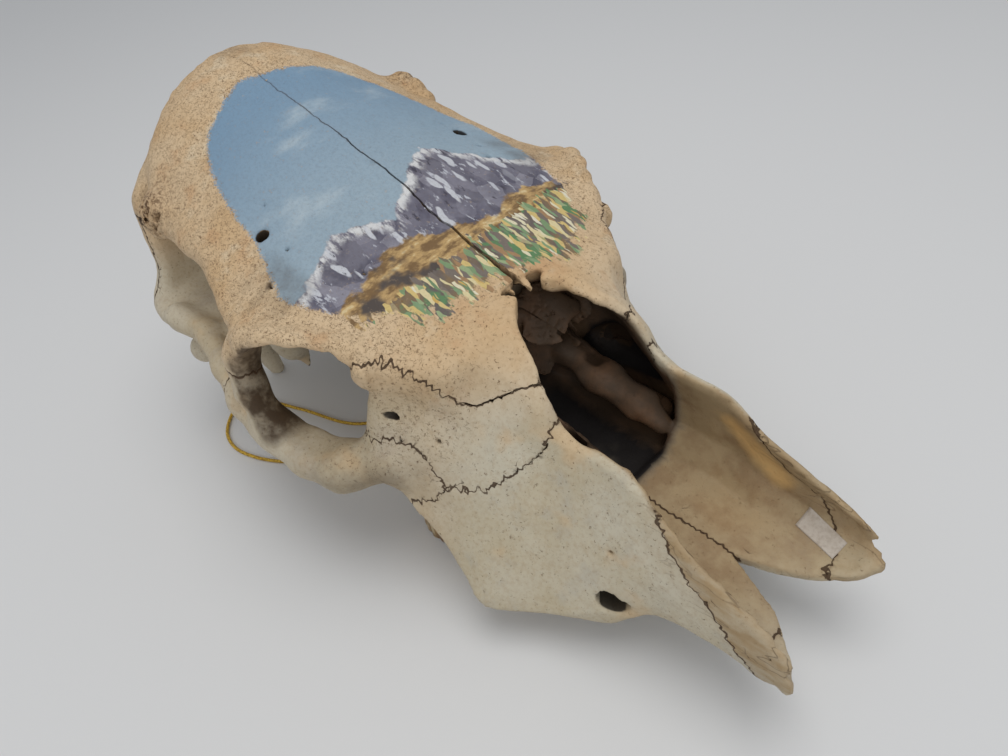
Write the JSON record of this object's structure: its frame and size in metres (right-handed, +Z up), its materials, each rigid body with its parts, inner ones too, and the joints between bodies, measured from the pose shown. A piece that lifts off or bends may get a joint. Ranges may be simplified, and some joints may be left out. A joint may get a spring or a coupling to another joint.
{
  "type": "painted cattle skull",
  "caption": "Dry skull of a hornless cow without lower jaw and nasal bones, a landscape painted on its forehead, standing on its cheek teeth, with a thin hanging cord.",
  "frame": {"origin": "centre of the skull's bounding box, on the surface it stands on", "axes": "+X towards the muzzle, +Y towards the animal's left, +Z up"},
  "size_m": [0.4674, 0.2539, 0.2196],
  "materials": {
    "bone": "dry, matte, finely pored",
    "painted_forehead": "matte paint over bone",
    "inner_bone": "matte, dark with age",
    "cord": "twisted gold thread"
  },
  "bodies": {
    "root": {"frontal_left": "painted_forehead", "frontal_right": "painted_forehead", "zygomatic_left": "bone", "zygomatic_right": "bone", "temporal_left": "bone", "temporal_right": "bone", "lacrimal_left": "bone", "lacrimal_right": "bone", "incisive_left": "bone", "incisive_right": "bone", "maxilla_left": "bone", "maxilla_right": "bone", "occipital": "bone", "cranial_base": "inner_bone", "hanging_cord": "cord", "cord_hitch": "cord"}
  },
  "joints": []
}
